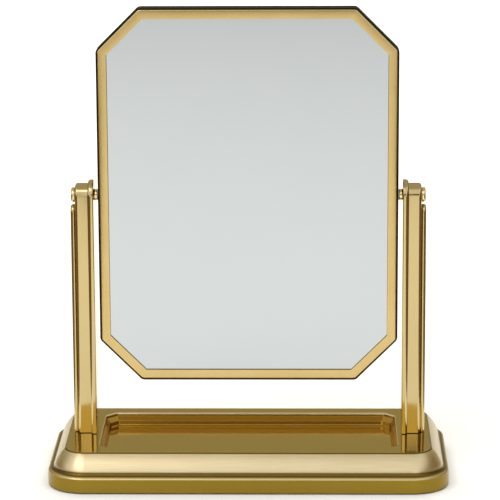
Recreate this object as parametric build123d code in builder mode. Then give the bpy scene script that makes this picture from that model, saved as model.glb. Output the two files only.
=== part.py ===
"""Tabletop vanity mirror: a clipped-corner mirror that tilts between two stepped
posts on a shallow tray base.  Millimetres, +Z up, the mirror faces -Y, and the
origin is on the table under the middle of the base."""
from build123d import *
from math import sqrt
import os

os.makedirs("parts", exist_ok=True)

# ---------------------------------------------------------------- driving sizes
# mirror
mirror_width = 209.0
mirror_height = 264.0
mirror_clip = 29.2        # leg of each cut-off corner
mirror_clip_round = 2.0
bezel_width = 7.4
bezel_thickness = 1.6
bezel_round = 0.9
window_round = 0.6
side_wall = 2.6
back_rebate = 1.4         # wall left outside the back panel
glass_thickness = 3.0
glass_gap = 0.3
backing_thickness = 0.8
panel_thickness = 1.2
panel_gap = 0.2
lug_radius = 4.5
lug_inset = 3.4
back_screw_radius = 1.25
back_screw_clearance = 0.15
back_screw_head_radius = 2.4
back_screw_head_height = 1.2
back_screw_reach = 4.2

# pivots
pivot_height = 197.8
pin_radius = 2.5
pin_running_gap = 0.05
pin_thread_radius = 2.0
pin_thread_gap = 0.1      # where the thread passes through the frame's side
pin_thread_reach = 9.0
block_wall = 0.8          # left beside the thread
block_length = 10.0
block_height = 24.0
bushing_wall = 1.0
spacer_wall = 1.45
friction_washer_wall = 1.3
friction_washer_thickness = 0.6
washer_play = 0.1
spring_washer_wall = 1.6
spring_washer_thickness = 0.7
spring_pocket_gap = 0.4
spring_pocket_depth = 0.8
cap_rim = 0.7             # cap outside the spring washer's pocket
cap_thickness = 2.8
cap_play = 0.2
cap_socket = 1.4
cap_round = 1.4

# posts, from the mirror outwards
post_gap = 3.2            # between the mirror frame and each post
post_layers = (4.2, 8.9, 3.4)
post_half_depths = (10.6, 8.2, 4.9)
post_rounds = (2.2, 1.9, 2.6)
post_inner_round = 0.8
post_outer_drop = 6.8     # the outer layer stops this far below the pivot
post_screw_radius = 2.0
post_screw_clearance = 0.2
post_screw_head_radius = 3.8
post_screw_head_height = 2.6
post_screw_spacing = 9.0
post_screw_reach = 14.0
post_washer_radius = 4.2
post_washer_thickness = 0.8

# base
base_depth = 134.0
base_margin = 15.8        # from each post's outer face to the base's side
base_corner = 27.0
rim_lift = 0.8            # the shell's rim stands clear of the table on its pads
band_top = 10.8           # top of the upright band round the foot
band_round = 0.8
ledge_width = 2.0         # flat ledge on top of the band
cove_width = 2.2          # hollow moulding between the ledge and the slope
cove_rise = 3.4
cove_hollow = 1.0
plateau_height = 26.4
plateau_inset = 12.6      # from the base's outline to the plateau's edge
slope_bulge = 0.8
shell_wall = 2.0

# tray sunk into the plateau
tray_post_gap = 2.4       # from the tray's edge to each post
tray_margin = 10.4        # plateau left in front of and behind the tray
tray_clip = 8.0
tray_clip_round = 3.0
tray_sink = 8.6
tray_lip_round = 1.2
tray_lip_drop = 2.4       # upright wall under the lip
tray_slope_run = 2.8
tray_slope_drop = 3.0

# underside
cover_thickness = 1.2
cover_gap = 0.4           # all round the cover, and below it to the rim
pad_radius = 7.0
pad_inset = 21.5
standoff_radius = 4.0
standoff_inset = 37.0     # from the front and back of the base
cover_screw_radius = 1.5
cover_screw_head_radius = 2.6
cover_screw_grip = 9.0
ballast_inset = 30.0      # ballast plate's edge from the base's front and back
ballast_side_inset = 55.0
ballast_thickness = 6.0
ballast_corner = 6.0

# ---------------------------------------------------------------- derived places
frame_side = mirror_width / 2
post_inside = frame_side + post_gap
post_steps = [post_inside + sum(post_layers[:count]) for count in range(4)]
post_middle = (post_steps[1] + post_steps[2]) / 2

half_width = post_steps[3] + base_margin
half_depth = base_depth / 2
shelf_under = plateau_height - shell_wall
cover_bottom = rim_lift + cover_gap
cover_top = cover_bottom + cover_thickness
tray_floor = plateau_height - tray_sink
tray_width = 2 * (post_inside - tray_post_gap)
tray_depth = 2 * (half_depth - plateau_inset - tray_margin)
tray_slope_inset = tray_lip_round + tray_slope_run
standoff_spacing = (2 * post_middle, 2 * (half_depth - standoff_inset))

# distances in front of the pivot axis, towards the viewer
block_depth = 2 * (pin_thread_radius + block_wall)
cavity_front = block_depth / 2
glass_back = cavity_front + backing_thickness
bezel_back = glass_back + glass_thickness
mirror_front = bezel_back + bezel_thickness
mirror_back = cavity_front + panel_thickness      # behind the axis
mirror_plane = Plane(origin=(0, 0, pivot_height), x_dir=(1, 0, 0), z_dir=(0, -1, 0))

bore_radius = pin_radius + pin_running_gap
bushing_radius = bore_radius + bushing_wall
spring_washer_radius = pin_radius + spring_washer_wall
spring_pocket_radius = spring_washer_radius + spring_pocket_gap
cap_radius = spring_pocket_radius + cap_rim


def clipped(width, height, clip, inset, corner_round):
    """Rectangle with its corners cut off, drawn with every side moved in by inset."""
    with BuildSketch() as outline:
        Rectangle(width - 2 * inset, height - 2 * inset)
        chamfer(outline.vertices(), clip - inset * (2 - sqrt(2)))
        fillet(outline.vertices(), corner_round)
    return outline.sketch


def mirror_outline(inset, corner_round=mirror_clip_round):
    return clipped(mirror_width, mirror_height, mirror_clip, inset, corner_round)


def tray_outline(inset):
    return clipped(tray_width, tray_depth, tray_clip, inset, tray_clip_round)


def pressed_tray(grow):
    """The tray's hollow, or with grow its outside, as one stack of sections."""
    wall_foot = plateau_height - tray_lip_drop
    slope_foot = wall_foot - tray_slope_drop
    with BuildPart() as tray:
        with BuildSketch(Plane.XY.offset(plateau_height)):
            add(tray_outline(tray_lip_round - grow))
        extrude(amount=-tray_lip_drop)
        with BuildSketch(Plane.XY.offset(wall_foot)):
            add(tray_outline(tray_lip_round - grow))
        with BuildSketch(Plane.XY.offset(slope_foot)):
            add(tray_outline(tray_slope_inset - grow))
        loft()
        with BuildSketch(Plane.XY.offset(slope_foot)):
            add(tray_outline(tray_slope_inset - grow))
        extrude(amount=-(slope_foot - tray_floor + grow))
    return tray.part


def finish(part, name):
    part.label = name
    export_step(part, f"parts/{name}.step")


# ---------------------------------------------------------------- base shell
# A moulded rim swept round a quarter of the base, the plateau and the sunk tray.
with BuildPart() as base_shell:
    with BuildLine(Plane.XY) as quarter_path:
        FilletPolyline((half_width, 0), (half_width, half_depth), (0, half_depth),
                       radius=base_corner)
    with BuildSketch(Plane.XZ):
        with BuildLine():
            edge = half_width
            cove_in = edge - ledge_width - cove_width
            slope_top = edge - plateau_inset
            shelf_in = slope_top - 2 * shell_wall - 2.0
            band_line = Line((edge, rim_lift), (edge, band_top - band_round))
            RadiusArc(band_line @ 1, (edge - band_round, band_top), -band_round)
            ledge = Line((edge - band_round, band_top), (edge - ledge_width, band_top))
            cove = SagittaArc(ledge @ 1, (cove_in, band_top + cove_rise), cove_hollow)
            slope = SagittaArc(cove @ 1, (slope_top, plateau_height), -slope_bulge)
            Polyline(
                slope @ 1,
                (shelf_in, plateau_height),
                (shelf_in, shelf_under),
                (slope_top - shell_wall, shelf_under),
                (cove_in - shell_wall, band_top + cove_rise - shell_wall),
                (cove_in - shell_wall, band_top - shell_wall),
                (edge - shell_wall, band_top - shell_wall),
                (edge - shell_wall, rim_lift),
                band_line @ 0,
            )
        make_face()
    sweep(path=quarter_path.wires()[0])
    mirror(about=Plane.XZ)
    mirror(about=Plane.YZ)
    with BuildSketch(Plane.XY.offset(shelf_under)):
        shelf_trim = plateau_inset + 2 * shell_wall
        RectangleRounded(2 * (half_width - shelf_trim), 2 * (half_depth - shelf_trim),
                         base_corner - shelf_trim)
    extrude(amount=shell_wall)
    with BuildSketch(Plane.XY.offset(cover_top)):
        with GridLocations(*standoff_spacing, 2, 2):
            Circle(standoff_radius)
    extrude(amount=shelf_under - cover_top)
    # the tray's underside, one wall thicker all round than the hollow cut next
    add(pressed_tray(shell_wall))
    add(pressed_tray(0), mode=Mode.SUBTRACT)
    rim_edges = base_shell.edges().filter_by_position(
        Axis.Z, plateau_height - 0.01, plateau_height + 0.01)
    lip_edges = [side for side in rim_edges if abs(side.center().X) < tray_width / 2 + 0.01
                 and abs(side.center().Y) < tray_depth / 2 + 0.01]
    fillet(lip_edges, tray_lip_round)
    with BuildSketch(Plane.XY.offset(shelf_under)):
        with GridLocations(2 * post_middle, post_screw_spacing, 2, 2):
            Circle(post_screw_radius + post_screw_clearance)
    extrude(amount=shell_wall, mode=Mode.SUBTRACT)
    with BuildSketch(Plane.XY.offset(cover_top)):
        with GridLocations(*standoff_spacing, 2, 2):
            Circle(cover_screw_radius)
    extrude(amount=cover_screw_grip, mode=Mode.SUBTRACT)
finish(base_shell.part, "base_shell")

# ---------------------------------------------------------------- underside
# A steel cover closes the hollow base, a ballast plate lies on it, and four
# countersunk screws and four pads are let into it from below.
with BuildPart() as base_cover:
    cover_inset = shell_wall + cover_gap
    with BuildSketch(Plane.XY.offset(cover_bottom)):
        RectangleRounded(2 * (half_width - cover_inset), 2 * (half_depth - cover_inset),
                         base_corner - cover_inset)
    extrude(amount=cover_thickness)
    with Locations(Plane.XY.offset(cover_bottom)):
        with GridLocations(*standoff_spacing, 2, 2):
            Cone(cover_screw_head_radius, cover_screw_radius, cover_thickness,
                 align=(Align.CENTER, Align.CENTER, Align.MIN), mode=Mode.SUBTRACT)
finish(base_cover.part, "base_cover")

with BuildPart() as cover_screws:
    with Locations(Plane.XY.offset(cover_bottom)):
        with GridLocations(*standoff_spacing, 2, 2):
            Cone(cover_screw_head_radius, cover_screw_radius, cover_thickness,
                 align=(Align.CENTER, Align.CENTER, Align.MIN))
    with BuildSketch(Plane.XY.offset(cover_top)):
        with GridLocations(*standoff_spacing, 2, 2):
            Circle(cover_screw_radius)
    extrude(amount=cover_screw_grip)
finish(cover_screws.part, "cover_screws")

with BuildPart() as ballast_plate:
    with BuildSketch(Plane.XY.offset(cover_top)):
        RectangleRounded(2 * (half_width - ballast_side_inset),
                         2 * (half_depth - ballast_inset), ballast_corner)
    extrude(amount=ballast_thickness)
finish(ballast_plate.part, "ballast_plate")

pad_places = {
    "front_left": (-1, -1),
    "front_right": (1, -1),
    "back_left": (-1, 1),
    "back_right": (1, 1),
}
for place, (across, along) in pad_places.items():
    with BuildPart() as foot_pad:
        with BuildSketch(Plane.XY):
            with Locations((across * (half_width - pad_inset),
                            along * (half_depth - pad_inset))):
                Circle(pad_radius)
        extrude(amount=cover_bottom)
    finish(foot_pad.part, f"foot_pad_{place}")

# ---------------------------------------------------------------- posts
# Each post is one casting of three layers that step back from the mirror outwards.
# The two inner layers end in half rounds about the pivot, the outer one below it.
with BuildPart() as post_right:
    layer_tops = (pivot_height, pivot_height,
                  pivot_height - post_outer_drop - post_half_depths[2])
    for layer in range(3):
        with BuildSketch(Plane.YZ.offset(post_steps[layer])):
            shank_height = layer_tops[layer] - plateau_height
            with Locations((0, plateau_height + shank_height / 2)):
                Rectangle(2 * post_half_depths[layer], shank_height)
            with Locations((0, layer_tops[layer])):
                Circle(post_half_depths[layer])
        extrude(amount=post_layers[layer])
        shoulder = post_right.edges(Select.LAST).filter_by_position(
            Axis.X, post_steps[layer + 1] - 0.01, post_steps[layer + 1] + 0.01)
        fillet(shoulder.filter_by_position(Axis.Z, plateau_height + 1, pivot_height * 2),
               post_rounds[layer])
    inside_edges = post_right.faces().sort_by(Axis.X)[0].edges()
    fillet(inside_edges.filter_by_position(Axis.Z, plateau_height + 1, pivot_height * 2),
           post_inner_round)
    # bore for the bushing, with a pocket for the spring washer at its outer end
    with BuildSketch(Plane.YZ.offset(post_inside)):
        with Locations((0, pivot_height)):
            Circle(bushing_radius)
    extrude(amount=post_steps[2] - post_inside, mode=Mode.SUBTRACT)
    with BuildSketch(Plane.YZ.offset(post_steps[2] - spring_pocket_depth)):
        with Locations((0, pivot_height)):
            Circle(spring_pocket_radius)
    extrude(amount=spring_pocket_depth, mode=Mode.SUBTRACT)
    with BuildSketch(Plane.XY.offset(plateau_height)):
        with Locations((post_middle, 0)):
            with GridLocations(0, post_screw_spacing, 1, 2):
                Circle(post_screw_radius)
    extrude(amount=post_screw_reach, mode=Mode.SUBTRACT)


def write_pair(right_part, name):
    """Write a right-hand piece and its mirror image."""
    finish(right_part, f"{name}_right")
    with BuildPart() as left:
        mirror(right_part, about=Plane.YZ)
    finish(left.part, f"{name}_left")


write_pair(post_right.part, "post")

with BuildPart() as post_washers:
    with BuildSketch(Plane.XY.offset(shelf_under)):
        with GridLocations(2 * post_middle, post_screw_spacing, 2, 2):
            Circle(post_washer_radius)
            Circle(post_screw_radius + post_screw_clearance, mode=Mode.SUBTRACT)
    extrude(amount=-post_washer_thickness)
finish(post_washers.part, "post_washers")

with BuildPart() as post_screws:
    head_top = shelf_under - post_washer_thickness
    with BuildSketch(Plane.XY.offset(head_top)):
        with GridLocations(2 * post_middle, post_screw_spacing, 2, 2):
            Circle(post_screw_head_radius)
    extrude(amount=-post_screw_head_height)
    with BuildSketch(Plane.XY.offset(head_top)):
        with GridLocations(2 * post_middle, post_screw_spacing, 2, 2):
            Circle(post_screw_radius)
    extrude(amount=plateau_height - head_top + post_screw_reach)
finish(post_screws.part, "post_screws")


# ---------------------------------------------------------------- pivots
def pivot_ring(start, length, outer_radius, inner_radius):
    """Ring about the pivot axis, from start towards +X."""
    with BuildPart() as ring:
        with BuildSketch(Plane.YZ.offset(start)):
            with Locations((0, pivot_height)):
                Circle(outer_radius)
                Circle(inner_radius, mode=Mode.SUBTRACT)
        extrude(amount=length)
    return ring.part


spacer_start = frame_side + friction_washer_thickness + washer_play
cap_start = post_steps[2] + cap_play
bushing_end = post_steps[2] - spring_pocket_depth

write_pair(pivot_ring(post_inside, bushing_end - post_inside,
                      bushing_radius, bore_radius), "pivot_bushing")
write_pair(pivot_ring(spacer_start, post_inside - spacer_start,
                      bore_radius + spacer_wall, bore_radius), "pivot_spacer")
write_pair(pivot_ring(frame_side, friction_washer_thickness,
                      pin_radius + friction_washer_wall, pin_radius), "friction_washer")
write_pair(pivot_ring(cap_start - spring_washer_thickness, spring_washer_thickness,
                      spring_washer_radius, pin_radius), "spring_washer")

with BuildPart() as pivot_cap:
    with BuildSketch(Plane.YZ.offset(cap_start)):
        with Locations((0, pivot_height)):
            Circle(cap_radius)
    extrude(amount=cap_thickness)
    fillet(pivot_cap.faces().sort_by(Axis.X)[-1].edges(), cap_round)
    with BuildSketch(Plane.YZ.offset(cap_start)):
        with Locations((0, pivot_height)):
            Circle(pin_radius)
    extrude(amount=cap_socket, mode=Mode.SUBTRACT)
write_pair(pivot_cap.part, "pivot_cap")

with BuildPart() as pivot_pin:
    with BuildSketch(Plane.YZ.offset(frame_side)):
        with Locations((0, pivot_height)):
            Circle(pin_radius)
    extrude(amount=cap_start + cap_socket - frame_side)
    with BuildSketch(Plane.YZ.offset(frame_side)):
        with Locations((0, pivot_height)):
            Circle(pin_thread_radius)
    extrude(amount=-(side_wall + pin_thread_reach))
write_pair(pivot_pin.part, "pivot_pin")

with BuildPart() as pivot_block:
    block_outside = frame_side - side_wall
    with BuildSketch(Plane.YZ.offset(block_outside)):
        with Locations((0, pivot_height)):
            Rectangle(block_depth, block_height)
    extrude(amount=-block_length)
    with BuildSketch(Plane.YZ.offset(block_outside)):
        with Locations((0, pivot_height)):
            Circle(pin_thread_radius)
    extrude(amount=-pin_thread_reach, mode=Mode.SUBTRACT)
write_pair(pivot_block.part, "pivot_block")

# ---------------------------------------------------------------- mirror
# A deep frame with a front bezel holds the glass, a backing board and, screwed to
# four lugs, the back panel.
lug_across = mirror_width / 2 - mirror_clip / 2 - lug_inset
lug_along = mirror_height / 2 - mirror_clip / 2 - lug_inset

with BuildPart() as mirror_frame:
    with BuildSketch(mirror_plane.offset(-mirror_back)):
        add(mirror_outline(0))
    extrude(amount=mirror_back + mirror_front)
    front_rim = mirror_frame.faces().sort_by(Axis.Y)[0].edges()
    fillet(front_rim, bezel_round)
    with BuildSketch(mirror_plane.offset(bezel_back)):
        add(mirror_outline(bezel_width, window_round))
    extrude(amount=bezel_thickness, mode=Mode.SUBTRACT)
    with BuildSketch(mirror_plane.offset(-cavity_front)):
        add(mirror_outline(side_wall))
    extrude(amount=cavity_front + bezel_back, mode=Mode.SUBTRACT)
    with BuildSketch(mirror_plane.offset(-mirror_back)):
        add(mirror_outline(back_rebate))
    extrude(amount=panel_thickness, mode=Mode.SUBTRACT)
    with BuildSketch(mirror_plane.offset(-cavity_front)):
        with GridLocations(2 * lug_across, 2 * lug_along, 2, 2):
            Circle(lug_radius)
    extrude(amount=block_depth)
    with BuildSketch(mirror_plane.offset(-cavity_front)):
        with GridLocations(2 * lug_across, 2 * lug_along, 2, 2):
            Circle(back_screw_radius)
    extrude(amount=back_screw_reach, mode=Mode.SUBTRACT)
    with Locations(Location((0, 0, pivot_height), (0, 90, 0))):
        Cylinder(pin_thread_radius + pin_thread_gap, mirror_width, mode=Mode.SUBTRACT)
finish(mirror_frame.part, "mirror_frame")

with BuildPart() as mirror_glass:
    with BuildSketch(mirror_plane.offset(glass_back)):
        add(mirror_outline(side_wall + glass_gap))
    extrude(amount=glass_thickness)
finish(mirror_glass.part, "mirror_glass")

with BuildPart() as backing_board:
    with BuildSketch(mirror_plane.offset(cavity_front)):
        add(mirror_outline(side_wall + glass_gap))
    extrude(amount=backing_thickness)
finish(backing_board.part, "backing_board")

with BuildPart() as back_panel:
    with BuildSketch(mirror_plane.offset(-mirror_back)):
        add(mirror_outline(back_rebate + panel_gap))
    extrude(amount=panel_thickness)
    with BuildSketch(mirror_plane.offset(-mirror_back)):
        with GridLocations(2 * lug_across, 2 * lug_along, 2, 2):
            Circle(back_screw_radius + back_screw_clearance)
    extrude(amount=panel_thickness, mode=Mode.SUBTRACT)
finish(back_panel.part, "back_panel")

with BuildPart() as back_screws:
    with BuildSketch(mirror_plane.offset(-mirror_back)):
        with GridLocations(2 * lug_across, 2 * lug_along, 2, 2):
            Circle(back_screw_head_radius)
    extrude(amount=-back_screw_head_height)
    with BuildSketch(mirror_plane.offset(-mirror_back)):
        with GridLocations(2 * lug_across, 2 * lug_along, 2, 2):
            Circle(back_screw_radius)
    extrude(amount=panel_thickness + back_screw_reach)
finish(back_screws.part, "back_screws")
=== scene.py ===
"""Tabletop vanity mirror in brass: a clipped-corner mirror between two stepped posts on
a moulded tray base.  Metres, +Z up, the mirror faces -Y, the table is at Z = 0."""
import math
import bmesh
import bpy
from mathutils import Matrix, Vector


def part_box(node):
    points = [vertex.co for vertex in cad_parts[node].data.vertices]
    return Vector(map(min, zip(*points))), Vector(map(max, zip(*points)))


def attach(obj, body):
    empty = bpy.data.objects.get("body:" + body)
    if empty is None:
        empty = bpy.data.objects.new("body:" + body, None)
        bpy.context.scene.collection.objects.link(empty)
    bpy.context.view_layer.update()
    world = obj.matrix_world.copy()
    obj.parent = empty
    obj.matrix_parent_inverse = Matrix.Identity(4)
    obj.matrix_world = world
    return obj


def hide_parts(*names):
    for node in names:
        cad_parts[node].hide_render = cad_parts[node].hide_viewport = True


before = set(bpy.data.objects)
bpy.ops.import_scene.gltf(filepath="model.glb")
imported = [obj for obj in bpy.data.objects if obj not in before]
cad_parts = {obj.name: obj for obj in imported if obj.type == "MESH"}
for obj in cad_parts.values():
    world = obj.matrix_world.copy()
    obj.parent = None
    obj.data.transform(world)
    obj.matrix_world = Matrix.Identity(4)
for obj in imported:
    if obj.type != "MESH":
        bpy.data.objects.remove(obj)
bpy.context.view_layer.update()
mm = 0.001

# ---------------------------------------------------------------- base shell
# The moulded foot of the stand: a band, a roll, a hollow and a bulging slope up to a flat
# top with a sunk tray.  One thin brass casting with the tray pressed into it, brushed along
# its mouldings and polished on its flat top, with painted shade darkening it round its foot.
base_low, base_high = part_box("base_shell")
half_width = base_high[0]
half_depth = base_high[1]
rim = base_low[2]
plateau = base_high[2]
base_corner = 27.0 * mm
band_top = 10.4 * mm
roll_width = 1.9 * mm
roll_rise = 1.5 * mm
roll_bulge = 0.35 * mm
cove_inset = 4.2 * mm
cove_top = 14.8 * mm
cove_hollow = 0.8 * mm
plateau_inset = 12.6 * mm
slope_bulge = 0.8 * mm
plateau_edge = 0.3 * mm
shell_wall = 2.0 * mm
tray_half_width = 105.3 * mm
tray_half_depth = 44.0 * mm
tray_clip = 8.0 * mm
tray_clip_round = 3.0 * mm
tray_lip = 1.2 * mm
tray_wall_foot = plateau - 2.4 * mm
tray_slope_foot = tray_wall_foot - 3.0 * mm
tray_slope_run = 2.8 * mm
tray_floor = plateau - 8.6 * mm
tray_wall_round = 0.5 * mm
tray_foot_round = 1.0 * mm
rim_round = 0.4 * mm


def turned(corners, steps):
    """The outline through corners (x, y, radius), each turned by an arc of its radius."""
    outline = []
    for index, (x, y, radius) in enumerate(corners):
        corner = Vector((x, y))
        if radius == 0:
            outline.append(corner)
            continue
        back = (Vector(corners[index - 1][:2]) - corner).normalized()
        ahead = (Vector(corners[(index + 1) % len(corners)][:2]) - corner).normalized()
        half_angle = back.angle(ahead) / 2
        centre = corner + (back + ahead).normalized() * radius / math.sin(half_angle)
        spoke = corner + back * radius / math.tan(half_angle) - centre
        turn = math.copysign(math.pi - 2 * half_angle, -back.cross(ahead))
        for step in range(steps + 1):
            outline.append(centre + Matrix.Rotation(turn * step / steps, 2) @ spoke)
    return outline


def bowed(start, end, rise, steps):
    """Points from start to end on a shallow bow that rises to the left of its chord."""
    start, chord = Vector(start), Vector(end) - Vector(start)
    left = Vector((-chord.y, chord.x)).normalized()
    shares = [step / steps for step in range(steps + 1)]
    return [start + chord * share + left * rise * 4 * share * (1 - share) for share in shares]


def skin(name, shells, hollow=False):
    """A smooth piece of closed shells.  Each shell is rows of points, and each row a ring;
    a hollow shell's last row joins its first, otherwise both are filled."""
    build = bmesh.new()
    for rows in shells:
        rings = [[build.verts.new(point) for point in row] for row in rows]
        joined = list(zip(rings, rings[1:]))
        if hollow:
            joined.append((rings[-1], rings[0]))
        else:
            build.faces.new(rings[0])
            build.faces.new(rings[-1])
        for lower, upper in joined:
            for index in range(len(lower)):
                build.faces.new((lower[index - 1], lower[index], upper[index], upper[index - 1]))
    bmesh.ops.recalc_face_normals(build, faces=build.faces)
    mesh = bpy.data.meshes.new(name)
    build.to_mesh(mesh)
    build.free()
    mesh.shade_smooth()
    piece = bpy.data.objects.new(name, mesh)
    bpy.context.scene.collection.objects.link(piece)
    piece.modifiers.new("even_normals", "WEIGHTED_NORMAL")
    return piece


def clipped(across, along, clip, inset, radius):
    """A rectangle with its corners cut off and rounded, every side moved in by inset."""
    across, along, clip = across - inset, along - inset, clip - inset * (2 - math.sqrt(2))
    corners = [(across, along - clip, radius), (across - clip, along, radius),
               (clip - across, along, radius), (-across, along - clip, radius),
               (-across, clip - along, radius), (clip - across, -along, radius),
               (across - clip, -along, radius), (across, clip - along, radius)]
    return turned(corners, 7)


def base_row(inset, height):
    """The base's rounded outline, moved in by inset, at a height."""
    across, along, radius = half_width - inset, half_depth - inset, base_corner - inset
    corners = [(across, along, radius), (-across, along, radius),
               (-across, -along, radius), (across, -along, radius)]
    return [(x, y, height) for x, y in turned(corners, 15)]


def tray_row(inset, height):
    """The tray's clipped outline, moved in by inset, at a height."""
    plan = clipped(tray_half_width, tray_half_depth, tray_clip, inset, tray_clip_round)
    return [(x, y, height) for x, y in plan]


roll_top = band_top + roll_rise
tray_foot_inset = tray_lip + tray_slope_run
under_tray = [
    (tray_foot_inset - shell_wall, tray_floor - shell_wall),
    (tray_foot_inset - shell_wall, tray_slope_foot - shell_wall / 2),
    (tray_lip - shell_wall, tray_wall_foot - shell_wall / 2),
    (tray_lip - shell_wall, plateau - shell_wall),
]
under_rim = [
    (plateau_inset + shell_wall, plateau - shell_wall),
    (cove_inset + shell_wall, cove_top - shell_wall),
    (cove_inset + shell_wall, band_top - shell_wall),
    (shell_wall, band_top - shell_wall),
    (shell_wall, rim),
]
moulding = turned([(shell_wall, rim, 0), (0, rim, rim_round), (0, band_top, 0)], 5)
moulding += bowed((0, band_top), (roll_width, roll_top), roll_bulge, 6)[1:]
moulding += bowed((roll_width, roll_top), (cove_inset, cove_top), -cove_hollow, 8)[1:]
moulding += bowed((cove_inset, cove_top), (plateau_inset, plateau), slope_bulge, 12)[1:-1]
slope_end = Vector((plateau_inset, plateau)) - moulding[-1]
moulding.append(moulding[-1] + slope_end * (1 - plateau_edge / slope_end.length))
moulding.append(Vector((plateau_inset + plateau_edge, plateau)))
tray_side = turned([(-tray_lip, plateau, 0), (tray_lip, plateau, tray_lip),
                    (tray_lip, tray_wall_foot, tray_wall_round),
                    (tray_foot_inset, tray_slope_foot, tray_wall_round),
                    (tray_foot_inset, tray_floor, tray_foot_round),
                    (tray_foot_inset + 2 * tray_foot_round, tray_floor, 0)], 5)[1:]
base_rows = [tray_row(*place) for place in under_tray]
base_rows += [base_row(*place) for place in under_rim]
base_rows += [base_row(*place) for place in moulding[1:]]
base_rows += [tray_row(*place) for place in tray_side]
base_shell = skin("base_shell_brass", [base_rows])


def linear(colour):
    """An sRGB hex colour as linear red, green, blue and alpha."""
    values = [int(colour[place:place + 2], 16) / 255 for place in (1, 3, 5)]
    return [*(v / 12.92 if v < 0.04045 else ((v + 0.055) / 1.055) ** 2.4 for v in values), 1.0]


def node(owner, kind, settings=None, inputs=None, links=None):
    """Adds one node to a material or world, with its settings, fixed inputs and links."""
    tree = owner.node_tree
    added = tree.nodes.new("ShaderNode" + kind)
    for name, value in (settings or {}).items():
        setattr(added, name, value)
    for socket, value in (inputs or {}).items():
        added.inputs[socket].default_value = value
    for socket, source in (links or {}).items():
        tree.links.new(source, added.inputs[socket])
    return added


def finish_named(name):
    """A material with no nodes yet."""
    material = bpy.data.materials.new(name)
    material.use_nodes = True
    material.node_tree.nodes.clear()
    return material


def give(material, *pieces):
    """Puts a material on pieces of this script or on nodes of the frame."""
    for piece in pieces:
        if not piece.material_slots:
            piece.data.materials.append(material)
        for place in piece.material_slots:
            place.material = material


# Brushed brass.  The grain runs round the mouldings, lines 0.15 mm apart drawn 0.6 mm apart
# so that they show, and spreads reflections up and down the slope.  The foot's band is painted
# a deeper olive, as painted shade and a painted reflection of the shaded floor.  The hollow, the
# tray's walls and the line under the flat top's edge are painted browner as painted shade, and
# the tray's lip is painted pale as a painted highlight.  The top is lacquered over a finer
# polish and mirrors the posts.
base_brass = finish_named("brushed_brass_base")
grain_spacing = 0.6 * mm
place = node(base_brass, "TexCoord")
point = node(base_brass, "SeparateXYZ", links={0: place.outputs["Object"]})
normal = node(base_brass, "SeparateXYZ", links={0: place.outputs["Normal"]})
flat_top = node(base_brass, "MapRange", {"interpolation_type": "SMOOTHSTEP"},
                {"From Min": 0.93, "From Max": 0.99}, {"Value": normal.outputs["Z"]})
above_cove = node(base_brass, "MapRange", {"interpolation_type": "SMOOTHSTEP"},
                  {"From Min": cove_top - 0.7 * mm, "From Max": cove_top + 0.3 * mm},
                  {"Value": point.outputs["Z"]})
above_band = node(base_brass, "MapRange", {"interpolation_type": "SMOOTHSTEP"},
                  {"From Min": band_top - 0.2 * mm, "From Max": band_top + 0.3 * mm},
                  {"Value": point.outputs["Z"]})
above_roll = node(base_brass, "MapRange", {"interpolation_type": "SMOOTHSTEP"},
                  {"From Min": roll_top - 0.3 * mm, "From Max": roll_top + 0.3 * mm},
                  {"Value": point.outputs["Z"]})
stretch = node(base_brass, "Mapping", {},
               {"Scale": (0.02 / grain_spacing, 0.02 / grain_spacing, 1 / grain_spacing)},
               {"Vector": place.outputs["Object"]})
grain = node(base_brass, "TexNoise", {}, {"Scale": 1.0, "Detail": 4.0, "Roughness": 0.7},
             {"Vector": stretch.outputs[0]})
mottle = node(base_brass, "TexNoise", {}, {"Scale": 1 / (18 * mm), "Detail": 4.0},
              {"Vector": place.outputs["Object"]})
slope_tone = node(base_brass, "Mix", {"data_type": "RGBA"},
                  {6: linear("#DCC48C"), 7: linear("#FBECCB")}, {0: grain.outputs["Fac"]})
# The band's dark olive is painted shade and a painted reflection of the shaded floor at its
# foot.
band_painted_shade_tone = node(base_brass, "Mix", {"data_type": "RGBA"},
                 {6: linear("#93792A"), 7: linear("#9E8534")}, {0: grain.outputs["Fac"]})
# The hollow's brown is painted shade in the recess.
hollow_painted_shade_tone = node(base_brass, "Mix", {"data_type": "RGBA"},
                   {6: linear("#6B5620"), 7: linear("#8C743A")}, {0: grain.outputs["Fac"]})
top_tone = node(base_brass, "Mix", {"data_type": "RGBA"},
                {6: linear("#E2C054"), 7: linear("#E8CA66")}, {0: mottle.outputs["Fac"]})
roll_tone = node(base_brass, "Mix", {"data_type": "RGBA"}, {7: linear("#E6D096")},
                 {0: above_band.outputs[0], 6: band_painted_shade_tone.outputs[2]})
cove_tone = node(base_brass, "Mix", {"data_type": "RGBA"}, {},
                 {0: above_roll.outputs[0], 6: roll_tone.outputs[2],
                  7: hollow_painted_shade_tone.outputs[2]})
slope_side = node(base_brass, "Mix", {"data_type": "RGBA"}, {},
                  {0: above_cove.outputs[0], 6: cove_tone.outputs[2],
                   7: slope_tone.outputs[2]})
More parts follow.
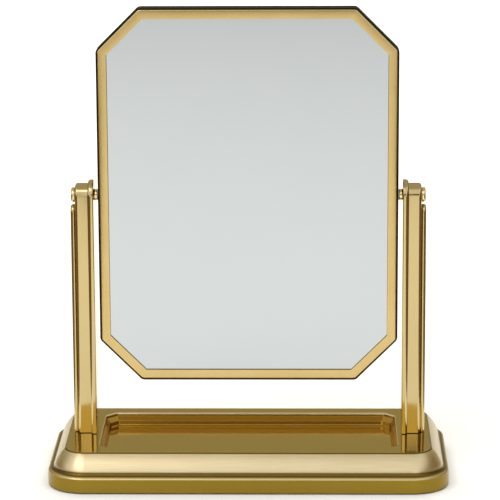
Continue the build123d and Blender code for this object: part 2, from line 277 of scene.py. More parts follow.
# A dark line just under the flat top's outer edge, beyond the tray, is painted shade.
edge_shade_band = node(base_brass, "MapRange", {"interpolation_type": "SMOOTHSTEP"},
                 {"From Min": plateau - 0.9 * mm, "From Max": plateau - 0.5 * mm},
                 {"Value": point.outputs["Z"]})
from_middle = node(base_brass, "VectorMath", {"operation": "ABSOLUTE"}, {},
                   {0: place.outputs["Object"]})
past_tray = node(base_brass, "VectorMath", {"operation": "SUBTRACT"},
                 {1: (tray_half_width, tray_half_depth, 0)}, {0: from_middle.outputs[0]})
past = node(base_brass, "SeparateXYZ", links={0: past_tray.outputs[0]})
outside = node(base_brass, "Math", {"operation": "MAXIMUM"}, {},
               {0: past.outputs["X"], 1: past.outputs["Y"]})
beyond_lip = node(base_brass, "Math", {"operation": "GREATER_THAN"}, {1: 1.0 * mm},
                  {0: outside.outputs[0]})
edge_shade_mask = node(base_brass, "Math", {"operation": "MULTIPLY"}, {},
                 {0: edge_shade_band.outputs[0], 1: beyond_lip.outputs[0]})
edge_painted_shade_tone = node(base_brass, "Mix", {"data_type": "RGBA"}, {7: linear("#6E5A2C")},
                 {0: edge_shade_mask.outputs[0], 6: slope_side.outputs[2]})
# The tray's walls are painted browner as painted shade, and its lip pale as a painted highlight.
lip_highlight_mask = node(base_brass, "MapRange", {"interpolation_type": "SMOOTHSTEP"},
                 {"From Min": plateau - 1.6 * mm, "From Max": plateau - 0.9 * mm},
                 {"Value": point.outputs["Z"]})
wall_shade_lip_highlight_tone = node(base_brass, "Mix", {"data_type": "RGBA"},
                 {6: linear("#C8A24C"), 7: linear("#FFEFC8")}, {0: lip_highlight_mask.outputs[0]})
side_tone = node(base_brass, "Mix", {"data_type": "RGBA"}, {},
                 {0: beyond_lip.outputs[0], 6: wall_shade_lip_highlight_tone.outputs[2], 7: edge_painted_shade_tone.outputs[2]})
top_mask = node(base_brass, "Math", {"operation": "MULTIPLY"}, {},
                {0: flat_top.outputs[0], 1: above_cove.outputs[0]})
tone = node(base_brass, "Mix", {"data_type": "RGBA"}, {},
            {0: top_mask.outputs[0], 6: side_tone.outputs[2], 7: top_tone.outputs[2]})
side_gloss = node(base_brass, "MapRange", {}, {"To Min": 0.28, "To Max": 0.4},
                  {"Value": grain.outputs["Fac"]})
wall_gloss = node(base_brass, "Mix", {}, {2: 0.2},
                  {0: beyond_lip.outputs[0], 3: side_gloss.outputs[0]})
gloss = node(base_brass, "Mix", {}, {3: 0.09},
             {0: top_mask.outputs[0], 2: wall_gloss.outputs[0]})
across_grain = node(base_brass, "CombineXYZ", {}, {"Z": 1.0}, {"Y": top_mask.outputs[0]})
ripple = node(base_brass, "Bump", {}, {"Strength": 0.15, "Distance": 0.03 * mm},
              {"Height": grain.outputs["Fac"]})
shader = node(base_brass, "BsdfPrincipled", {}, {"Metallic": 1.0, "Anisotropic": 0.6},
              {"Base Color": tone.outputs[2], "Roughness": gloss.outputs[0],
               "Normal": ripple.outputs[0], "Tangent": across_grain.outputs[0]})
node(base_brass, "OutputMaterial", links={"Surface": shader.outputs[0]})
give(base_brass, base_shell)
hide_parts("base_shell")
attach(base_shell, "base")

# ---------------------------------------------------------------- foot pads
# Four moulded rubber buttons glued to the cover, dished in the middle so that they grip.
# Their edge is eased where the mould opens.
pad_dish = 0.3 * mm
dish_floor_radius = 2.5 * mm
dish_side_radius = 4.4 * mm
dish_edge_radius = 4.9 * mm
pad_ease = 0.4 * mm


def disc_row(centre, radius, height, count=40):
    """A level ring about centre."""
    turns = [2 * math.pi * step / count for step in range(count)]
    return [(centre[0] + radius * math.cos(turn), centre[1] + radius * math.sin(turn), height)
            for turn in turns]


# Synthetic rubber: nearly black, dull, with the fine pebble of a sand-blasted mould, 0.2 mm
# grains drawn 0.4 mm wide.
rubber = finish_named("moulded_rubber_feet")
place = node(rubber, "TexCoord")
pebble = node(rubber, "TexNoise", {}, {"Scale": 1 / (0.4 * mm), "Detail": 3.0},
              {"Vector": place.outputs["Object"]})
tone = node(rubber, "Mix", {"data_type": "RGBA"}, {6: linear("#17171A"), 7: linear("#242427")},
            {0: pebble.outputs["Fac"]})
relief = node(rubber, "Bump", {}, {"Strength": 0.3, "Distance": 0.05 * mm},
              {"Height": pebble.outputs["Fac"]})
shader = node(rubber, "BsdfPrincipled", {}, {"Roughness": 0.75},
              {"Base Color": tone.outputs[2], "Normal": relief.outputs[0]})
node(rubber, "OutputMaterial", links={"Surface": shader.outputs[0]})

for corner_name in ("front_left", "front_right", "back_left", "back_right"):
    low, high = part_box("foot_pad_" + corner_name)
    middle = ((low[0] + high[0]) / 2, (low[1] + high[1]) / 2)
    pad_radius = (high[0] - low[0]) / 2
    pad_profile = [(dish_floor_radius, low[2] + pad_dish), (dish_side_radius, low[2] + pad_dish),
                   (dish_edge_radius, low[2]), (pad_radius - pad_ease, low[2]),
                   (pad_radius, low[2] + pad_ease), (pad_radius, high[2])]
    pad = skin("foot_pad_" + corner_name + "_rubber",
               [[disc_row(middle, *place) for place in pad_profile]])
    give(rubber, pad)
    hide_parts("foot_pad_" + corner_name)
    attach(pad, "base")

# ---------------------------------------------------------------- underside
# A pressed steel cover closes the hollow base and holds the ballast plate up inside it.
# Four countersunk screws hold the cover.

# Black powder coat over the cover: even, with an orange-peel skin of 1 mm waves.
black_coat = finish_named("powder_coated_steel_cover")
place = node(black_coat, "TexCoord")
peel = node(black_coat, "TexNoise", {}, {"Scale": 1 / (1.0 * mm), "Detail": 2.0},
            {"Vector": place.outputs["Object"]})
tone = node(black_coat, "Mix", {"data_type": "RGBA"},
            {6: linear("#2A2A2B"), 7: linear("#343433")}, {0: peel.outputs["Fac"]})
relief = node(black_coat, "Bump", {}, {"Strength": 0.25, "Distance": 0.04 * mm},
              {"Height": peel.outputs["Fac"]})
shader = node(black_coat, "BsdfPrincipled", {}, {"Roughness": 0.5},
              {"Base Color": tone.outputs[2], "Normal": relief.outputs[0]})
node(black_coat, "OutputMaterial", links={"Surface": shader.outputs[0]})
give(black_coat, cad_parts["base_cover"])

# Hot-rolled steel for the ballast: blue-grey mill scale with brown blooms 12 mm across.
mill_scale = finish_named("hot_rolled_steel_ballast")
place = node(mill_scale, "TexCoord")
bloom = node(mill_scale, "TexNoise", {}, {"Scale": 1 / (12 * mm), "Detail": 6.0},
             {"Vector": place.outputs["Object"]})
tone = node(mill_scale, "Mix", {"data_type": "RGBA"},
            {6: linear("#4A4E55"), 7: linear("#5B4E45")}, {0: bloom.outputs["Fac"]})
gloss = node(mill_scale, "MapRange", {}, {"To Min": 0.45, "To Max": 0.7},
             {"Value": bloom.outputs["Fac"]})
shader = node(mill_scale, "BsdfPrincipled", {}, {"Metallic": 0.8},
              {"Base Color": tone.outputs[2], "Roughness": gloss.outputs[0]})
node(mill_scale, "OutputMaterial", links={"Surface": shader.outputs[0]})
give(mill_scale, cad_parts["ballast_plate"])

# Zinc-plated steel for every screw, washer, pin and block: cool grey with a faint yellow
# cast and soft spangle about 1.5 mm across.
zinc = finish_named("zinc_plated_steel_fasteners")
place = node(zinc, "TexCoord")
spangle = node(zinc, "TexNoise", {}, {"Scale": 1 / (1.5 * mm), "Detail": 3.0},
               {"Vector": place.outputs["Object"]})
tone = node(zinc, "Mix", {"data_type": "RGBA"}, {6: linear("#B9BBB8"), 7: linear("#CFCFC4")},
            {0: spangle.outputs["Fac"]})
gloss = node(zinc, "MapRange", {}, {"To Min": 0.28, "To Max": 0.42},
             {"Value": spangle.outputs["Fac"]})
shader = node(zinc, "BsdfPrincipled", {}, {"Metallic": 1.0},
              {"Base Color": tone.outputs[2], "Roughness": gloss.outputs[0]})
node(zinc, "OutputMaterial", links={"Surface": shader.outputs[0]})


def cross_row(reach, throat, count=40):
    """A four-armed recess as (across, along): reach is an arm's length, throat its root."""
    turns = [2 * math.pi * step / count for step in range(count)]
    radii = [throat + (reach - throat) * abs(math.cos(2 * turn)) ** 7 for turn in turns]
    return [(radius * math.cos(turn), radius * math.sin(turn))
            for radius, turn in zip(radii, turns)]


def screw_shell(profile, recess_depth, put):
    """Rows of one cross-headed screw.  profile is (radius, distance from the head's face);
    put places (across, along, distance) in the frame."""
    reach = profile[0][0] * 0.9
    rows = [[put(x, y, recess_depth) for x, y in cross_row(reach * 0.5, reach * 0.2)],
            [put(x, y, profile[0][1]) for x, y in cross_row(reach, reach * 0.36)]]
    for radius, distance in profile:
        rows.append([put(x, y, distance) for x, y, _ in disc_row((0, 0), radius, 0)])
    return rows


cover_low, cover_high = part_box("base_cover")
screws_low, screws_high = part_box("cover_screws")
head_radius = 2.6 * mm
head_ease = 0.1 * mm
shank_radius = 1.5 * mm
point_length = 1.5 * mm
recess_depth = 0.9 * mm
screw_across = screws_high[0] - head_radius
screw_along = screws_high[1] - head_radius
screw_length = screws_high[2] - screws_low[2]
screw_profile = [(2.0 * mm, 0.0), (head_radius - head_ease, 0.0), (head_radius, head_ease),
                 (shank_radius, cover_high[2] - cover_low[2]),
                 (shank_radius, screw_length - point_length), (0.5 * mm, screw_length)]
cover_shells = []
for side in (-1, 1):
    for end in (-1, 1):
        centre = (side * screw_across, end * screw_along)
        cover_shells.append(screw_shell(
            screw_profile, recess_depth,
            lambda x, y, depth: (centre[0] + x, centre[1] + y, screws_low[2] + depth)))
cover_screws = skin("cover_screws_zinc", cover_shells)
give(zinc, cover_screws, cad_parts["post_screws"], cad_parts["post_washers"])
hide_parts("cover_screws")
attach(cover_screws, "base")

# ---------------------------------------------------------------- posts
# Each post is one brass casting of three plates that step back from the mirror outwards:
# the two inner plates end in half rounds about the pivot, the outer one stops below it.
# The steps are rounded by machining.  Two screws hold the post from inside the base, on a
# thin black shim set back from its edges; the shim is painted shade, a dark sheet for the seam's
# shadow.
frame_low, frame_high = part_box("mirror_frame")
pivot_height = (frame_low[2] + frame_high[2]) / 2
post_low, post_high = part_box("post_right")
shim = 0.5 * mm
foot = post_low[2] + shim
plate_starts = [post_low[0], post_low[0] + 4.2 * mm, post_low[0] + 13.1 * mm, post_high[0]]
plate_halves = (post_high[1], 8.2 * mm, 4.9 * mm)
plate_rounds = (2.2 * mm, 1.9 * mm, 1.8 * mm)
inner_round = 0.8 * mm
outer_spring = pivot_height - 11.7 * mm
bushing_low, bushing_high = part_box("pivot_bushing_right")
bore_radius = (bushing_high[2] - bushing_low[2]) / 2
pocket_radius = 4.5 * mm
pocket_depth = 0.8 * mm
shim_bite = 0.1 * mm
rail_bite = 0.3 * mm
arch_steps = 32


def arch_row(across, half, spring):
    """A plate's edge: up one side from the foot, round the top and down the other."""
    turns = [math.pi * (1 - step / arch_steps) for step in range(arch_steps + 1)]
    top = [(across, half * math.cos(turn), spring + half * math.sin(turn)) for turn in turns]
    return [(across, -half, foot)] + top + [(across, half, foot)]


def bore_row(across, radius):
    """A ring about the pivot with as many points as a plate's edge."""
    turns = [math.pi * (1 - step / arch_steps) for step in range(arch_steps + 1)]
    turns = [1.25 * math.pi] + turns + [-0.25 * math.pi]
    return [(across, radius * math.cos(turn), pivot_height + radius * math.sin(turn))
            for turn in turns]


def rounded_side(side, start, end, half, spring, first_round, last_round):
    """Rows of one plate's edge from start to end, its two corners rounded."""
    rows = []
    for radius, place, way in ((first_round, start, 1), (last_round, end, -1)):
        turns = [math.pi / 2 * step / 6 for step in range(7)] if radius else [0]
        for turn in turns[::way]:
            across = place + way * radius * (1 - math.cos(turn))
            rows.append(arch_row(side * across, half - radius * (1 - math.sin(turn)), spring))
    return rows


# Satin brass casting: ground and brushed up and down the post, lines 0.2 mm apart drawn
# 0.7 mm apart, a little deeper in tone where the casting skin was not cut as far.
post_brass = finish_named("satin_brass_posts")
place = node(post_brass, "TexCoord")
grain_spacing = 0.7 * mm
stretch = node(post_brass, "Mapping", {},
               {"Scale": (1 / grain_spacing, 1 / grain_spacing, 0.015 / grain_spacing)},
               {"Vector": place.outputs["Object"]})
grain = node(post_brass, "TexNoise", {}, {"Scale": 1.0, "Detail": 3.0, "Roughness": 0.6},
             {"Vector": stretch.outputs[0]})
mottle = node(post_brass, "TexNoise", {}, {"Scale": 1 / (14 * mm), "Detail": 4.0},
              {"Vector": place.outputs["Object"]})
tone = node(post_brass, "Mix", {"data_type": "RGBA"},
            {6: linear("#CDB881"), 7: linear("#D3BF8D")}, {0: mottle.outputs["Fac"]})
gloss = node(post_brass, "MapRange", {}, {"To Min": 0.08, "To Max": 0.16},
             {"Value": grain.outputs["Fac"]})
ripple = node(post_brass, "Bump", {}, {"Strength": 0.1, "Distance": 0.02 * mm},
              {"Height": grain.outputs["Fac"]})
shader = node(post_brass, "BsdfPrincipled", {}, {"Metallic": 1.0},
              {"Base Color": tone.outputs[2], "Roughness": gloss.outputs[0],
               "Normal": ripple.outputs[0]})
node(post_brass, "OutputMaterial", links={"Surface": shader.outputs[0]})

for side, hand in ((-1, "left"), (1, "right")):
    # The black shims are painted shade: a dark sheet under each post standing in for the shadow
    # in the seam.
    seam_shade_shims = []
    for start, end, half in zip(plate_starts, plate_starts[1:], plate_halves):
        near, far = side * (start + shim * (start == plate_starts[0])), side * (end - shim)
        seam_shade_shims.append([[(near, shim - half, height), (far, shim - half, height),
                      (far, half - shim, height), (near, half - shim, height)]
                      for height in (post_low[2], foot + shim_bite)])
    seam_shade_shim = skin("post_" + hand + "_seam_shade_shim", seam_shade_shims)
    give(rubber, seam_shade_shim)
    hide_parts("post_" + hand)
    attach(seam_shade_shim, "base")
    shoulder = plate_starts[2]
    core = [bore_row(side * plate_starts[0], bore_radius)]
    core += rounded_side(side, plate_starts[0], plate_starts[1], plate_halves[0],
                         pivot_height, inner_round, plate_rounds[0])
    core += rounded_side(side, plate_starts[1], shoulder, plate_halves[1],
                         pivot_height, 0.0, plate_rounds[1])
    core += [bore_row(side * shoulder, pocket_radius),
             bore_row(side * (shoulder - pocket_depth), pocket_radius),
             bore_row(side * (shoulder - pocket_depth), bore_radius)]
    outer_plate = rounded_side(side, shoulder - rail_bite, plate_starts[3], plate_halves[2],
                               outer_spring, 0.0, plate_rounds[2])
    post_core = skin("post_" + hand + "_core", [core], hollow=True)
    post_rail = skin("post_" + hand + "_rail", [outer_plate])
    for piece in (post_core, post_rail):
        give(post_brass, piece)
        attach(piece, "base")
        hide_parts("post_" + hand)

# ---------------------------------------------------------------- pivots
# On each side a steel pin turns in a nylon bushing in the post.  A brass collar keeps the
# mirror off the post, washers add friction, and a brass button screws on outside.
cap_low, cap_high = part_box("pivot_cap_right")
cap_radius = (cap_high[2] - cap_low[2]) / 2
collar_low, collar_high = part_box("pivot_spacer_right")
collar_radius = (collar_high[2] - collar_low[2]) / 2
pin_bore = 2.55 * mm
ease = 0.3 * mm
cap_seat_radius = 1.2 * mm
cap_dome_round = 1.4 * mm
cap_dome_drop = 0.2 * mm
cap_crown_radius = 0.8 * mm


def pivot_row(across, radius, count=40):
    """A ring about the pivot axis."""
    turns = [2 * math.pi * step / count for step in range(count)]
    return [(across, radius * math.cos(turn), pivot_height + radius * math.sin(turn))
            for turn in turns]


# Polished brass: turned on a lathe and buffed, with turning rings 0.1 mm apart drawn
# 0.5 mm apart.
polished_brass = finish_named("polished_brass_pivots")
place = node(polished_brass, "TexCoord")
rings = node(polished_brass, "TexNoise", {}, {"Scale": 1 / (0.5 * mm), "Detail": 2.0},
             {"Vector": place.outputs["Object"]})
tone = node(polished_brass, "Mix", {"data_type": "RGBA"},
            {6: linear("#F0D79A"), 7: linear("#F8E3AE")}, {0: rings.outputs["Fac"]})
gloss = node(polished_brass, "MapRange", {}, {"To Min": 0.05, "To Max": 0.12},
             {"Value": rings.outputs["Fac"]})
shader = node(polished_brass, "BsdfPrincipled", {}, {"Metallic": 1.0},
              {"Base Color": tone.outputs[2], "Roughness": gloss.outputs[0]})
node(polished_brass, "OutputMaterial", links={"Surface": shader.outputs[0]})

# Nylon: cream, slightly waxy, with flow marks 3 mm apart from moulding.
nylon = finish_named("moulded_nylon_bearings")
place = node(nylon, "TexCoord")
flow = node(nylon, "TexNoise", {}, {"Scale": 1 / (3 * mm), "Detail": 2.0},
            {"Vector": place.outputs["Object"]})
tone = node(nylon, "Mix", {"data_type": "RGBA"}, {6: linear("#E6E1D2"), 7: linear("#EFEBDF")},
            {0: flow.outputs["Fac"]})
shader = node(nylon, "BsdfPrincipled", {}, {"Roughness": 0.45, "IOR": 1.53},
              {"Base Color": tone.outputs[2]})
node(nylon, "OutputMaterial", links={"Surface": shader.outputs[0]})

for side, hand in ((-1, "left"), (1, "right")):
    cap_profile = [(cap_low[0], cap_seat_radius), (cap_low[0], cap_radius - ease),
                   (cap_low[0] + ease, cap_radius)]
    cap_profile += turned([(cap_low[0] + 2 * ease, cap_radius, 0),
                           (cap_high[0] - cap_dome_drop, cap_radius, cap_dome_round),
                           (cap_high[0], cap_crown_radius, 0)], 8)[1:]
    cap = skin("pivot_cap_" + hand + "_brass",
               [[pivot_row(side * x, radius) for x, radius in cap_profile]])
    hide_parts("pivot_cap_" + hand)
    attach(cap, "mirror")
    collar_profile = [(collar_low[0], pin_bore), (collar_low[0], collar_radius - ease),
                      (collar_low[0] + ease, collar_radius),
                      (collar_high[0] - ease, collar_radius),
                      (collar_high[0], collar_radius - ease), (collar_high[0], pin_bore)]
    collar = skin("pivot_spacer_" + hand + "_brass",
                  [[pivot_row(side * x, radius) for x, radius in collar_profile]], hollow=True)
    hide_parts("pivot_spacer_" + hand)
    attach(collar, "base")
    for piece in (cap, collar):
        give(polished_brass, piece)
    give(nylon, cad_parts["pivot_bushing_" + hand],
         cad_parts["friction_washer_" + hand])
    give(zinc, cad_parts["pivot_pin_" + hand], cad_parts["pivot_block_" + hand],
         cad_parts["spring_washer_" + hand])

# ---------------------------------------------------------------- mirror frame
# A deep rim with clipped corners, enamelled black, under a brass bezel that laps over the
# glass.  Both are strip, mitred and soldered at eight corners, and the bezel is ground flat.
mirror_half_width = frame_high[0]
mirror_half_height = (frame_high[2] - frame_low[2]) / 2
mirror_front = frame_low[1]
mirror_back = frame_high[1]
mirror_clip = 29.2 * mm
clip_round = 4.6 * mm
bezel_width = 7.4 * mm
bezel_thickness = 1.6 * mm
bezel_crown = 0.08 * mm
bezel_round = 1.0 * mm
bezel_inner_round = 0.3 * mm
bezel_margin = 0.8 * mm
bezel_skirt = 0.8 * mm
rim_setback = 0.2 * mm
rim_back_round = 0.4 * mm
rim_front_round = 0.3 * mm
sharpest_corner = 0.6 * mm
side_wall = 2.6 * mm
back_rebate = 1.4 * mm
panel_thickness = 1.2 * mm


def mirror_row(inset, depth):
    """The mirror's clipped outline, moved in by inset, at a depth along Y."""
    radius = max(clip_round - inset, sharpest_corner)
    plan = clipped(mirror_half_width, mirror_half_height, mirror_clip, inset, radius)
    return [(x, depth, pivot_height + z) for x, z in plan]


bezel_edge = mirror_front + bezel_crown
skirt = mirror_front + bezel_skirt
bezel_profile = turned([(bezel_margin, skirt, 0), (bezel_margin, bezel_edge, bezel_round),
                        (bezel_width / 2, bezel_edge, 0)], 5)[:-1]
bezel_profile += bowed((bezel_margin + bezel_round, bezel_edge),
                       (bezel_width - bezel_inner_round, bezel_edge), -bezel_crown, 6)[1:-1]
bezel_profile += turned([(bezel_width / 2, bezel_edge, 0),
                         (bezel_width, bezel_edge, bezel_inner_round),
                         (bezel_width, skirt, 0)], 5)[1:]
bezel = skin("mirror_bezel_brass",
             [[mirror_row(inset, depth) for inset, depth in bezel_profile]], hollow=True)
rim_profile = turned([(back_rebate, mirror_back, 0), (0, mirror_back, rim_back_round),
                      (0, mirror_front + rim_setback, rim_front_round),
                      (bezel_margin, mirror_front + rim_setback, 0),
                      (bezel_margin, skirt, 0), (bezel_width, skirt, 0),
                      (bezel_width, mirror_front + bezel_thickness, 0),
                      (side_wall, mirror_front + bezel_thickness, 0),
                      (side_wall, mirror_back - panel_thickness, 0),
                      (back_rebate, mirror_back - panel_thickness, 0)], 5)
mirror_rim = skin("mirror_rim_black",
                  [[mirror_row(inset, depth) for inset, depth in rim_profile]], hollow=True)

# Stoved black enamel: smooth, half matt, with a faint orange-peel skin of 1.5 mm waves.
black_enamel = finish_named("stoved_black_enamel_rim")
place = node(black_enamel, "TexCoord")
peel = node(black_enamel, "TexNoise", {}, {"Scale": 1 / (1.5 * mm), "Detail": 2.0},
            {"Vector": place.outputs["Object"]})
tone = node(black_enamel, "Mix", {"data_type": "RGBA"},
            {6: linear("#060504"), 7: linear("#0C0A08")}, {0: peel.outputs["Fac"]})
relief = node(black_enamel, "Bump", {}, {"Strength": 0.1, "Distance": 0.02 * mm},
              {"Height": peel.outputs["Fac"]})
shader = node(black_enamel, "BsdfPrincipled", {},
              {"Roughness": 0.45, "Specular IOR Level": 0.15},
              {"Base Color": tone.outputs[2], "Normal": relief.outputs[0]})
node(black_enamel, "OutputMaterial", links={"Surface": shader.outputs[0]})
give(black_enamel, mirror_rim)
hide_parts("mirror_frame")
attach(mirror_rim, "mirror")

# Satin brass strip: rolled and brushed lightly, the lines 0.2 mm apart drawn 0.7 mm apart,
# a shade deeper than the posts.
frame_brass = finish_named("satin_brass_mirror_frame")
place = node(frame_brass, "TexCoord")
grain_spacing = 0.7 * mm
stretch = node(frame_brass, "Mapping", {},
               {"Scale": (1 / grain_spacing, 1 / grain_spacing, 0.05 / grain_spacing)},
               {"Vector": place.outputs["Object"]})
grain = node(frame_brass, "TexNoise", {}, {"Scale": 1.0, "Detail": 3.0, "Roughness": 0.6},
             {"Vector": stretch.outputs[0]})
mottle = node(frame_brass, "TexNoise", {}, {"Scale": 1 / (20 * mm), "Detail": 4.0},
              {"Vector": place.outputs["Object"]})
tone = node(frame_brass, "Mix", {"data_type": "RGBA"},
            {6: linear("#D1B574"), 7: linear("#DDC388")}, {0: mottle.outputs["Fac"]})
gloss = node(frame_brass, "MapRange", {}, {"To Min": 0.16, "To Max": 0.26},
             {"Value": grain.outputs["Fac"]})
shader = node(frame_brass, "BsdfPrincipled", {}, {"Metallic": 1.0},
              {"Base Color": tone.outputs[2], "Roughness": gloss.outputs[0]})
node(frame_brass, "OutputMaterial", links={"Surface": shader.outputs[0]})
give(frame_brass, bezel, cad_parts["back_panel"])
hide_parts("mirror_frame")
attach(bezel, "mirror")

# ---------------------------------------------------------------- mirror glass
# Float glass silvered on its back and held by the bezel, with a board behind it that keeps
# the silvering from being scratched.

# Silvering: neutral, a trace of green from the glass, and a barely uneven gloss.
silvering = finish_named("silvered_float_glass")
place = node(silvering, "TexCoord")
haze = node(silvering, "TexNoise", {}, {"Scale": 1 / (60 * mm), "Detail": 2.0},
            {"Vector": place.outputs["Object"]})
tone = node(silvering, "Mix", {"data_type": "RGBA"},
            {6: linear("#CAD0D5"), 7: linear("#CDD2D7")}, {0: haze.outputs["Fac"]})
gloss = node(silvering, "MapRange", {}, {"To Min": 0.0, "To Max": 0.02},
             {"Value": haze.outputs["Fac"]})
shader = node(silvering, "BsdfPrincipled", {}, {"Metallic": 1.0},
              {"Base Color": tone.outputs[2], "Roughness": gloss.outputs[0]})
node(silvering, "OutputMaterial", links={"Surface": shader.outputs[0]})
give(silvering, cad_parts["mirror_glass"])

# Black board with short fibres 2 mm long.
board = finish_named("black_board_backing")
place = node(board, "TexCoord")
fibre = node(board, "TexNoise", {}, {"Scale": 1 / (2 * mm), "Detail": 6.0},
             {"Vector": place.outputs["Object"]})
tone = node(board, "Mix", {"data_type": "RGBA"}, {6: linear("#2B2926"), 7: linear("#35322E")},
            {0: fibre.outputs["Fac"]})
shader = node(board, "BsdfPrincipled", {}, {"Roughness": 0.9}, {"Base Color": tone.outputs[2]})
node(board, "OutputMaterial", links={"Surface": shader.outputs[0]})
give(board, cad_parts["backing_board"])

# ---------------------------------------------------------------- back screws
# Four brass pan-head screws hold the back panel to lugs inside the frame.
screws_low, screws_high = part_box("back_screws")
head_radius = 2.4 * mm
head_height = screws_high[1] - mirror_back
shank_radius = 1.25 * mm
recess_depth = 0.8 * mm
screw_across = screws_high[0] - head_radius
screw_rise = screws_high[2] - head_radius - pivot_height
screw_profile = [(1.5 * mm, 0.0), (1.8 * mm, 0.1 * mm), (2.2 * mm, 0.35 * mm),
                 (head_radius, 0.8 * mm), (head_radius, head_height),
                 (shank_radius, head_height), (shank_radius, 5.5 * mm), (0.4 * mm, 6.6 * mm)]
back_shells = []
for side in (-1, 1):
    for end in (-1, 1):
        centre = (side * screw_across, pivot_height + end * screw_rise)
        back_shells.append(screw_shell(
            screw_profile, recess_depth,
            lambda x, z, depth: (centre[0] + x, screws_high[1] - depth, centre[1] + z)))
back_screws = skin("back_screws_brass", back_shells)
give(polished_brass, back_screws)
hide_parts("back_screws")
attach(back_screws, "mirror")

# ---------------------------------------------------------------- studio
# A wide pale paper floor, a soft sky that is brightest ahead of the object and dim above
# and behind it, and large soft lights.  The camera looks down a little from far away.
floor_half = 7.0
floor_mesh = bpy.data.meshes.new("floor")
floor_mesh.from_pydata([(-floor_half, -floor_half, 0), (floor_half, -floor_half, 0),
                        (floor_half, floor_half, 0), (-floor_half, floor_half, 0)],
                       [], [(0, 1, 2, 3)])
floor = bpy.data.objects.new("floor", floor_mesh)
bpy.context.scene.collection.objects.link(floor)
paper = finish_named("pale_paper_floor")
place = node(paper, "TexCoord")
tooth = node(paper, "TexNoise", {}, {"Scale": 1 / (2 * mm), "Detail": 2.0},
             {"Vector": place.outputs["Object"]})
tone = node(paper, "Mix", {"data_type": "RGBA"}, {6: linear("#F0F0EF"), 7: linear("#F4F4F3")},
            {0: tooth.outputs["Fac"]})
shader = node(paper, "BsdfPrincipled", {}, {"Roughness": 0.9, "Specular IOR Level": 0.1},
              {"Base Color": tone.outputs[2]})
node(paper, "OutputMaterial", links={"Surface": shader.outputs[0]})
give(paper, floor)

sky = bpy.data.worlds.new("studio_sky")
sky.use_nodes = True
sky.node_tree.nodes.clear()
bpy.context.scene.world = sky
toward = node(sky, "TexCoord")
parts = node(sky, "SeparateXYZ", links={0: toward.outputs["Generated"]})
ahead = node(sky, "MapRange", {"interpolation_type": "SMOOTHSTEP"},
             {"From Min": 0.25, "From Max": -0.3}, {"Value": parts.outputs["Y"]})
below_top = node(sky, "MapRange", {"interpolation_type": "SMOOTHSTEP"},
                 {"From Min": 0.97, "From Max": 0.78}, {"Value": parts.outputs["Z"]})
lit = node(sky, "Math", {"operation": "MULTIPLY"}, {},
           {0: ahead.outputs[0], 1: below_top.outputs[0]})
low = node(sky, "MapRange", {"interpolation_type": "SMOOTHSTEP"},
           {"From Min": 0.7, "From Max": 0.3}, {"Value": parts.outputs["Z"]})
behind = node(sky, "Mix", {"data_type": "RGBA"},
              {6: (0.50, 0.46, 0.36, 1), 7: (0.32, 0.29, 0.19, 1)}, {0: low.outputs[0]})
glow = node(sky, "Mix", {"data_type": "RGBA"}, {7: (0.92, 0.92, 0.91, 1)},
            {0: lit.outputs[0], 6: behind.outputs[2]})
backdrop = node(sky, "Background", {}, {}, {"Color": glow.outputs[2]})
node(sky, "OutputWorld", links={"Surface": backdrop.outputs[0]})


def softbox(name, place, aim, size, power, mirrored):
    """A large soft light at place that faces aim; mirrored if polished metal shows it."""
    light = bpy.data.lights.new(name, "AREA")
    light.shape = "RECTANGLE"
    light.size, light.size_y = size
    light.energy = power
    lamp = bpy.data.objects.new(name, light)
    lamp.location = place
    lamp.rotation_euler = (Vector(aim) - Vector(place)).to_track_quat("-Z", "Y").to_euler()
    lamp.visible_glossy = mirrored
    bpy.context.scene.collection.objects.link(lamp)


softbox("overhead", (0, -0.2, 2.6), (0, -0.2, 0), (3.6, 3.0), 36, False)
softbox("behind", (0, 3.4, 2.6), (0, 3.4, 0), (6.0, 4.0), 150, False)
softbox("front_left", (-1.1, -1.6, 2.1), (0, 0, 0.1), (1.6, 1.1), 10.5, True)

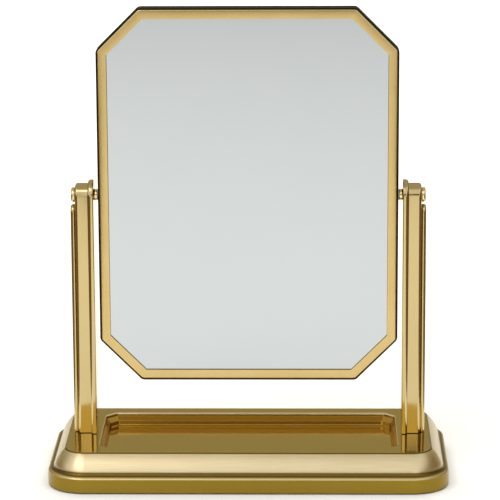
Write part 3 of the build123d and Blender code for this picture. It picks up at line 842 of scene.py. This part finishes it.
# Brown cards keep the polished metal from going white: one laid and stood at each side, and
# a cloth round the camera.  Only reflections show them.
felt = finish_named("brown_felt_cards")
place = node(felt, "TexCoord")
nap = node(felt, "TexNoise", {}, {"Scale": 1 / (3 * mm), "Detail": 2.0},
           {"Vector": place.outputs["Object"]})
tone = node(felt, "Mix", {"data_type": "RGBA"}, {6: linear("#655331"), 7: linear("#77633D")},
            {0: nap.outputs["Fac"]})
shader = node(felt, "BsdfPrincipled", {}, {"Roughness": 1.0, "Specular IOR Level": 0.0},
              {"Base Color": tone.outputs[2]})
node(felt, "OutputMaterial", links={"Surface": shader.outputs[0]})
velvet = finish_named("black_velvet_cloth")
place = node(velvet, "TexCoord")
nap = node(velvet, "TexNoise", {}, {"Scale": 1 / (3 * mm)}, {"Vector": place.outputs["Object"]})
tone = node(velvet, "Mix", {"data_type": "RGBA"}, {6: linear("#0E0B08"), 7: linear("#15110C")},
            {0: nap.outputs["Fac"]})
shader = node(velvet, "BsdfPrincipled", {}, {"Roughness": 1.0, "Specular IOR Level": 0.0},
              {"Base Color": tone.outputs[2]})
node(velvet, "OutputMaterial", links={"Surface": shader.outputs[0]})


def card(name, material, corners):
    """A card through corners in order, each next pair one more fold along it."""
    mesh = bpy.data.meshes.new(name)
    folds = [(2 * fold, 2 * fold + 1, 2 * fold + 3, 2 * fold + 2)
             for fold in range(len(corners) // 2 - 1)]
    mesh.from_pydata(corners, [], folds)
    screen = bpy.data.objects.new(name, mesh)
    screen.visible_camera = False
    screen.visible_diffuse = False
    screen.visible_shadow = False
    bpy.context.scene.collection.objects.link(screen)
    give(material, screen)


card_near = 0.24
card_far = 0.9
card_front = -1.5
card_back = 0.5
card_lift = 0.002
for side, hand, card_top in ((-1, "left", 0.25), (1, "right", 0.6)):
    card("card_" + hand, felt,
         [(side * across, along, height)
          for across, height in ((card_near, card_lift), (card_far, card_lift),
                                 (card_far, card_top))
          for along in (card_front, card_back)])
cloth_distance = -2.1
card("card_camera", velvet, [(across, cloth_distance, height)
                             for height in (0.3, 0.8) for across in (-0.3, 0.35)])

lens = bpy.data.cameras.new("camera")
lens.lens = 201.6
lens.sensor_width = 36
lens.clip_end = 50
camera = bpy.data.objects.new("camera", lens)
aim = Vector((1.07 * mm, 0, 157.98 * mm))
away = 1.963
look_down = math.radians(13.23)
step_right = math.radians(1.15)
tilt = math.radians(-0.27)
camera.matrix_world = (Matrix.Translation(aim) @ Matrix.Rotation(step_right, 4, "Z")
                       @ Matrix.Rotation(math.pi / 2 - look_down, 4, "X")
                       @ Matrix.Rotation(tilt, 4, "Z") @ Matrix.Translation((0, 0, away)))
bpy.context.scene.collection.objects.link(camera)
bpy.context.scene.camera = camera
bpy.context.scene.view_settings.view_transform = "Standard"
